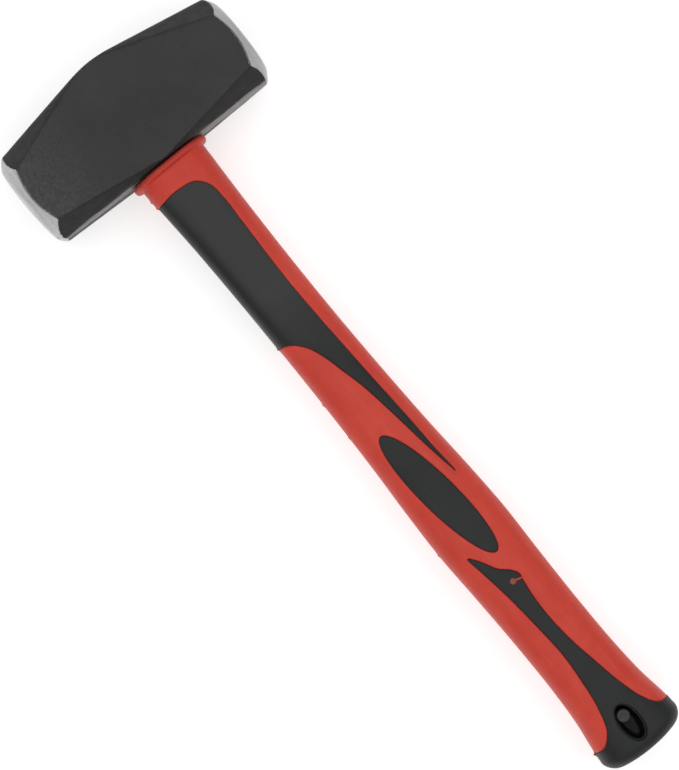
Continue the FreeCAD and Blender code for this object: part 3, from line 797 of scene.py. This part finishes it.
# ------------------------------------------------------------------ where black shows
# Outlines in plan, through a few points each. BEYOND lies past the edges of the handle.
BEYOND = 30.0
PANEL = outline(
    [
        [(35.6, -BEYOND), (35.3, -14.0)],
        # Round the corner under the collar, then along the far edge to the tip.
        [(35.3, -14.0), (35.0, -5.0), (37.2, 4.0), (41.8, 7.6), (50.5, 8.7), (62.0, 8.3),
         (93.0, 7.1), (143.0, 8.4), (177.0, 9.9), (190.0, 10.2), (203.6, 11.1)],
        [(203.6, 11.1), (203.8, 10.7)],
        # Back along the tongue.
        [(203.8, 10.7), (190.0, 8.5), (166.0, 5.4), (150.0, 3.0), (140.0, 0.6), (130.0, -1.9),
         (122.0, -5.4), (116.3, -11.5), (115.1, -15.0)],
        [(115.1, -15.0), (115.1, -BEYOND)],
        [(115.1, -BEYOND), (35.6, -BEYOND)],
    ]
)
FLAME = outline(
    [
        # From the tip over the hooked shoulder and the waist to the far lobe.
        [(236.2, -9.3), (240.0, -6.6), (247.5, -2.4), (252.0, 2.1), (254.6, 3.6), (258.0, 3.05),
         (266.0, 2.0), (276.0, 1.6), (288.0, 2.3), (304.0, 4.75), (320.0, 7.9), (329.0, 10.8),
         (335.2, 14.8), (336.8, 17.6), (337.2, 20.5)],
        [(337.2, 20.5), (337.2, BEYOND)],
        [(337.2, BEYOND), (370.0, BEYOND)],
        [(370.0, BEYOND), (370.0, -BEYOND)],
        [(370.0, -BEYOND), (336.9, -BEYOND)],
        [(336.9, -BEYOND), (336.9, -19.5)],
        # From the near lobe back to the tip.
        [(336.9, -19.5), (336.3, -16.5), (332.0, -11.4), (322.0, -7.5), (308.0, -5.3),
         (294.0, -4.3), (278.0, -5.1), (258.0, -6.9), (246.0, -8.6), (236.4, -10.2)],
        [(236.4, -10.2), (236.2, -9.3)],
    ]
)
OVAL = ellipse((206.7, -1.5), (34.9, 7.5), math.radians(6.2))
# The mouth of a hang pocket, and the well below its step.
POCKET_AT = (334.3, -0.3)
POCKET_HALF = (9.2, 5.15)
POCKET = ellipse(POCKET_AT, POCKET_HALF)
WELL_HALF = (8.5, 4.45)
WELL_FLOOR = 7.5
PIN_AT = (330.4, -0.8)
# How round the skin is at its rims, and the jacket where it meets the skin or a pocket.
SKIN_ROUND = 0.70
JACKET_ROUND = 0.45

# Columns of the table of handle vertices.
OUT = slice(0, 3)
NORMAL = slice(3, 6)
IN = slice(6, 9)
FIELD = 9
POCKET_FIELD = 10


def split_at(data, polygons, column, level):
    """Cut the polygons along the line where a column has this value; the cut vertices get it."""
    values = data[:, column].copy()
    close = np.abs(values - level) < 0.03
    values[close] = level
    data[:, column] = values
    extra = []
    made = {}
    result = []

    def crossing(v, w):
        key = (min(v, w), max(v, w))
        if key not in made:
            share = (level - values[v]) / (values[w] - values[v])
            row = data[v] * (1.0 - share) + data[w] * share
            row[column] = level
            made[key] = len(data) + len(extra)
            extra.append(row)
        return made[key]

    def clip(polygon):
        over = []
        under = []
        for i, v in enumerate(polygon):
            w = polygon[(i + 1) % len(polygon)]
            dv = values[v] - level
            dw = values[w] - level
            if dv >= 0.0:
                over.append(v)
            if dv <= 0.0:
                under.append(v)
            if dv * dw < 0.0:
                new = crossing(v, w)
                over.append(new)
                under.append(new)
        result.extend(part for part in (over, under) if len(part) > 2)

    for polygon in polygons:
        side = [values[v] - level for v in polygon]
        if max(side) <= 0.0 or min(side) >= 0.0:
            result.append(polygon)
            continue
        changes = sum(side[i] * side[i - 1] < 0.0 for i in range(len(side)))
        if changes > 2:
            for i in range(1, len(polygon) - 1):
                clip([polygon[0], polygon[i], polygon[i + 1]])
        else:
            clip(polygon)
    if extra:
        data = np.concatenate([data, np.array(extra)])
    return data, result


def build_handle_table():
    """Every vertex of the handle with its two fields, and the polygons, cut along the rims."""
    outer, inner = handle_grid()
    along = np.gradient(outer, axis=0)
    around = np.roll(outer, -1, axis=1) - np.roll(outer, 1, axis=1)
    normal = np.cross(around, along)
    normal /= np.maximum(np.linalg.norm(normal, axis=2, keepdims=True), 1e-9)
    if (normal[:, :, 1] * outer[:, :, 1] + normal[:, :, 2] * outer[:, :, 2]).sum() < 0.0:
        normal = -normal
    outer, normal, inner = (grid.reshape(-1, 3) for grid in (outer, normal, inner))
    x = outer[:, 0]
    y = outer[:, 1]
    field = np.minimum.reduce([signed_distance(x, y, line) for line in (PANEL, FLAME, OVAL)])
    pocket = signed_distance(x, y, POCKET)
    # The pockets are in the cheek sides only.
    far = 5.0
    pocket[np.abs(normal[:, 2]) < 0.3] = far
    tip = np.array([[HANDLE_END, 0.0, 0.0, 1.0, 0.0, 0.0, HANDLE_END - 3.0, 0.0, 0.0, -far, far]])
    data = np.concatenate([np.column_stack([outer, normal, inner, field, pocket]), tip])
    rows = np.arange(len(outer)).reshape(-1, COLUMNS).tolist()
    polygons = []
    for row, following in zip(rows, rows[1:]):
        polygons += band(row, following)
    polygons += fan(rows[-1], len(data) - 1)

    # Only the polygons by a rim are cut.
    near_field = 0.9
    near_pocket = 1.5
    calm = []
    busy = []
    for polygon in polygons:
        here = data[polygon, FIELD]
        by_rim = here.min() < near_field and here.max() > -near_field
        by_pocket = data[polygon, POCKET_FIELD].min() < near_pocket
        (busy if by_rim or by_pocket else calm).append(polygon)
    for level in (0.0, 0.24, SKIN_ROUND, -0.16, -JACKET_ROUND):
        data, busy = split_at(data, busy, FIELD, level)
    for level in (0.0, JACKET_ROUND):
        data, busy = split_at(data, busy, POCKET_FIELD, level)
    return data, calm + busy


def edge_drop(distance, radius):
    """How far a rounded edge of this radius has fallen at this distance from its rim."""
    share = 1.0 - np.clip(distance / radius, 0.0, 1.0)
    return radius * (1.0 - np.sqrt(np.maximum(1.0 - share ** 2, 0.0)))


# The disc that the mould's gate left on the lower flame.
GATE_AT = (255.8, -0.7)
GATE_RADIUS = 1.45
# Height of the jacket above the even surface of the handle, along the handle.
LEVEL_X = (35.0, 60.0, 90.0, 115.0, 140.0, 170.0, 330.0, 338.0, 343.0, 347.0)
LEVEL_UP = (-0.35, -0.35, 0.0, 0.22, 0.10, 0.0, 0.0, 0.18, 0.10, 0.0)
# Nubs of flash on the -Y edge: place along the handle and height.
NUBS = (
    (30.7, 0.5), (34.8, 0.4), (115.2, 0.5), (146.0, 0.45), (164.0, 0.3), (228.0, 0.4), (337.2, 0.9),
)


def parting_line(place, normal):
    """The thin raised line and the few nubs of flash where the mould halves met."""
    x, y, z = place.T
    line = 0.14 * np.exp(-((z / 0.45) ** 2)) * smoothstep(0.75, 0.95, np.abs(normal[:, 1]))
    for nub_x, height in NUBS:
        nub = height * np.exp(-(((x - nub_x) / 0.7) ** 2) - z ** 2)
        line += np.where(y < -8.0, nub, 0.0)
    # The collar has none.
    return line * smoothstep(29.0, 31.0, x)


def boundary_edges(polygons):
    """Directed edges that belong to only one of these polygons."""
    found = {}
    for polygon in polygons:
        for i, v in enumerate(polygon):
            w = polygon[(i + 1) % len(polygon)]
            key = (min(v, w), max(v, w))
            found[key] = None if key in found else (v, w)
    return [edge for edge in found.values() if edge is not None]


def surface_height(x, y):
    """Height of the handle surface above the middle plane, over a place in plan."""
    a, b = half_section(np.array([x]))
    share = 1.0 - min(abs(y / a[0]), 0.999) ** SECTION_POWER
    return b[0] * share ** (1.0 / SECTION_POWER)


def build_grip(table, polygons):
    """The red overmould: a skin closed on itself, with rounded rims where it meets black."""
    place = table[:, OUT]
    normal = table[:, NORMAL]
    field = table[:, FIELD]
    shown = [p for p in polygons if field[p].min() >= -1e-9 and field[p].max() > 1e-9]
    lift = parting_line(place, normal) - edge_drop(field, SKIN_ROUND)
    outer = place + normal * lift[:, None]
    count = len(table)
    points = [tuple(p) for p in np.concatenate([outer, table[:, IN]])]
    faces = list(shown)
    faces += [[v + count for v in reversed(p)] for p in shown]
    faces += [[b, a, a + count, b + count] for a, b in boundary_edges(shown)]
    # The gate's disc, and a short tail beside it.
    gate = []
    disc = ((GATE_RADIUS, -0.5), (1.35, 0.05), (1.15, 0.16), (0.8, 0.20), (0.4, 0.22))
    for radius, above in disc:
        circle = ellipse(GATE_AT, (radius, radius), count=36)
        gate.append([(x, y, surface_height(x, y) + above) for x, y in circle])
    add_rings(points, faces, gate)
    tail = []
    for share in np.linspace(0.0, 1.0, 15):
        middle = GATE_AT[0] + 0.2 + 0.9 * share
        y = GATE_AT[1] + 0.9 + 3.4 * share
        half_width = 0.45 - 0.15 * share
        ring = []
        for turn in turns(12):
            x = middle + half_width * math.cos(turn)
            ring.append((x, y, surface_height(x, y) + 0.14 * math.sin(turn) - 0.03))
        tail.append(ring)
    add_rings(points, faces, tail)
    grip = mesh_object("soft_grip", np.array(points), faces, red_rubber(), 50.0)
    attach(grip, "root")
    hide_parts("grip_overmould")


def pocket_rings(rim_x, rim_y, rim_z, side):
    """Rings from the rim of a pocket over its step and down its well, for these directions."""
    rings = []

    def add_ring(half_x, half_y, z):
        x = POCKET_AT[0] + half_x * rim_x
        y = POCKET_AT[1] + half_y * rim_y
        rings.append(list(zip(x, y, np.broadcast_to(z, len(rim_z)))))

    # Inset from the mouth and depth below the rim.
    for inset, depth in ((0.08, 0.15), (0.14, 1.35), (0.22, 1.75), (0.45, 1.80), (0.62, 1.95)):
        add_ring(POCKET_HALF[0] - inset, POCKET_HALF[1] - inset, rim_z - side * depth)
    # Inset from the well and height from the middle plane.
    well = ((0.05, 13.0), (0.20, 12.4), (0.40, 11.0), (0.70, 9.6), (1.2, 8.5), (2.0, 7.9))
    for inset, height in well:
        add_ring(WELL_HALF[0] - inset, WELL_HALF[1] - inset, side * height)
    for share in (0.55, 0.3):
        add_ring(WELL_HALF[0] * share, WELL_HALF[1] * share, side * (WELL_FLOOR + 0.1))
    return rings


def build_jacket(table, polygons):
    """The black jacket: shown where it fills the openings, hidden under the red skin elsewhere."""
    place = table[:, OUT]
    normal = table[:, NORMAL]
    field = table[:, FIELD]
    pocket = table[:, POCKET_FIELD]
    shown = [p for p in polygons if field[p].max() <= 1e-9 and pocket[p].max() > 1e-9]
    hidden = [p for p in polygons if field[p].max() > 1e-9]
    level = np.interp(place[:, 0], LEVEL_X, LEVEL_UP)
    lift = level + parting_line(place, normal) - edge_drop(-field, JACKET_ROUND)
    lift -= edge_drop(pocket, JACKET_ROUND)
    outer = place + normal * lift[:, None]
    # Under the skin the jacket keeps a hair's breadth of room.
    inward = table[:, IN] - place
    inward /= np.maximum(np.linalg.norm(inward, axis=1, keepdims=True), 1e-9)
    inner = table[:, IN] + inward * 0.03
    count = len(table)
    points = [tuple(p) for p in np.concatenate([outer, inner])]
    faces = list(shown)
    faces += [[v + count for v in p] for p in hidden]
    rims = {tuple(sorted(edge)) for edge in boundary_edges(shown)}
    for a, b in boundary_edges(hidden):
        if tuple(sorted((a, b))) in rims:
            faces.append([a, b, b + count, a + count])

    # The bore for the rod runs from the end nearest the head to just before the butt.
    previous = list(range(count, count + COLUMNS))
    for x in (UNDERSIDE + 0.05, 343.5):
        ring = list(range(len(points), len(points) + COLUMNS))
        points.extend(zip([x] * COLUMNS, 10.05 * rod_y, 6.55 * rod_z))
        faces += band(previous, ring)
        previous = ring
    faces.append(previous)

    # A hang pocket in each cheek side of the butt.
    rim_vertices = {v for edge in boundary_edges(shown) for v in edge if abs(pocket[v]) < 1e-9}
    for side in (1.0, -1.0):
        turn = {}
        for v in rim_vertices:
            if place[v, 2] * side > 0.0:
                across = (place[v, 1] - POCKET_AT[1]) / POCKET_HALF[1]
                turn[v] = math.atan2(across, (place[v, 0] - POCKET_AT[0]) / POCKET_HALF[0])
        previous = sorted(turn, key=turn.get)
        angles = np.array([turn[v] for v in previous])
        for ring in pocket_rings(np.cos(angles), np.sin(angles), outer[previous, 2], side):
            current = list(range(len(points), len(points) + len(ring)))
            points.extend(ring)
            faces += band(previous, current)
            previous = current
        points.append((*POCKET_AT, side * WELL_FLOOR))
        faces += fan(previous, len(points) - 1)
    jacket = mesh_object("hard_jacket", np.array(points), faces, black_plastic(), 50.0)
    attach(jacket, "root")
    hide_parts("handle_jacket")


def build_pin():
    """The pin across the rod, with rounded ends and a shallow dimple in each."""
    # Radius and height above the middle plane, from the dimple to the middle.
    half = [
        (0.6, 14.12), (1.1, 14.16), (1.4, 14.24), (2.3, 14.26), (2.7, 14.16), (2.95, 13.92),
        (3.05, 13.6), (3.05, 10.0), (3.05, 5.0), (3.05, 0.0),
    ]
    rings = []
    for radius, z in half + [(radius, -z) for radius, z in reversed(half[:-1])]:
        rings.append([(x, y, z) for x, y in ellipse(PIN_AT, (radius, radius), count=72)])
    points = []
    faces = []
    add_rings(points, faces, rings)
    pin = mesh_object("cross_pin", np.array(points), faces, pin_plastic(), 50.0)
    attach(pin, "root")
    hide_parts("core_cross_pin")


table, polygons = build_handle_table()
build_grip(table, polygons)
build_jacket(table, polygons)
build_pin()

# The rod, the resin and the seal keep the shapes of the frame and get their own surfaces.
for node, material in (
    ("fibreglass_core", glass_fibre()),
    ("epoxy_potting", resin()),
    ("eye_seal", seal_rubber()),
):
    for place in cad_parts[node].material_slots:
        place.material = material

# ------------------------------------------------------------------ floor, light and camera
# From here on in metres.
scene = bpy.context.scene
CENTRE = Vector((0.1436, -0.00395, 0.0232))


def floor_material():
    n = Nodes("pale_floor")
    mottle = n.noise(60.0, 3.0, 0.5)
    tone = n.mix(n.span(mottle, 0.3, 0.7), grey(0.73), grey(0.75))
    n.set(colour=tone, roughness=0.9, specular=0.1)
    n.shader.inputs["Emission Color"].default_value = (1.0, 1.0, 1.0, 1.0)
    n.shader.inputs["Emission Strength"].default_value = 0.59
    n.bump([(n.noise(0.6, 2.0, 0.5), 0.01)])
    return n.material


bpy.ops.mesh.primitive_plane_add(size=40.0, location=(0.14, 0.0, -0.0002))
floor = bpy.context.object
floor.name = "floor"
floor.data.materials.append(floor_material())

# One wide soft light straight above.
overhead = bpy.data.lights.new("overhead", "AREA")
overhead.size = 2.6
overhead.energy = 22.0
lamp = bpy.data.objects.new("overhead", overhead)
lamp.location = (0.14, 0.0, 1.45)
scene.collection.objects.link(lamp)

world = bpy.data.worlds.new("studio")
scene.world = world
world.use_nodes = True
background = world.node_tree.nodes["Background"]
background.inputs["Color"].default_value = (1.0, 1.0, 1.0, 1.0)
background.inputs["Strength"].default_value = 0.22

# The camera looks down on the upper cheek, tilted a little, with the handle turned in its view.
tilt = math.radians(2.5)
turn = math.radians(50.5)
distance = 1.2509
toward = Vector((0.0, -math.sin(tilt), math.cos(tilt)))
x_seen = Vector((1.0, 0.0, 0.0))
y_seen = Vector((0.0, math.cos(tilt), math.sin(tilt)))
right = math.cos(turn) * x_seen + math.sin(turn) * y_seen
up = -math.sin(turn) * x_seen + math.cos(turn) * y_seen
camera_data = bpy.data.cameras.new("camera")
camera_data.lens = 135.0
camera_data.sensor_width = 36.0
camera = bpy.data.objects.new("camera", camera_data)
aim = Matrix((right, up, toward)).transposed().to_4x4()
camera.matrix_world = Matrix.Translation(CENTRE + toward * distance) @ aim
scene.collection.objects.link(camera)
scene.camera = camera

scene.view_settings.view_transform = "Standard"
scene.view_settings.look = "None"
scene.view_settings.exposure = 0.0
scene.view_settings.gamma = 1.0
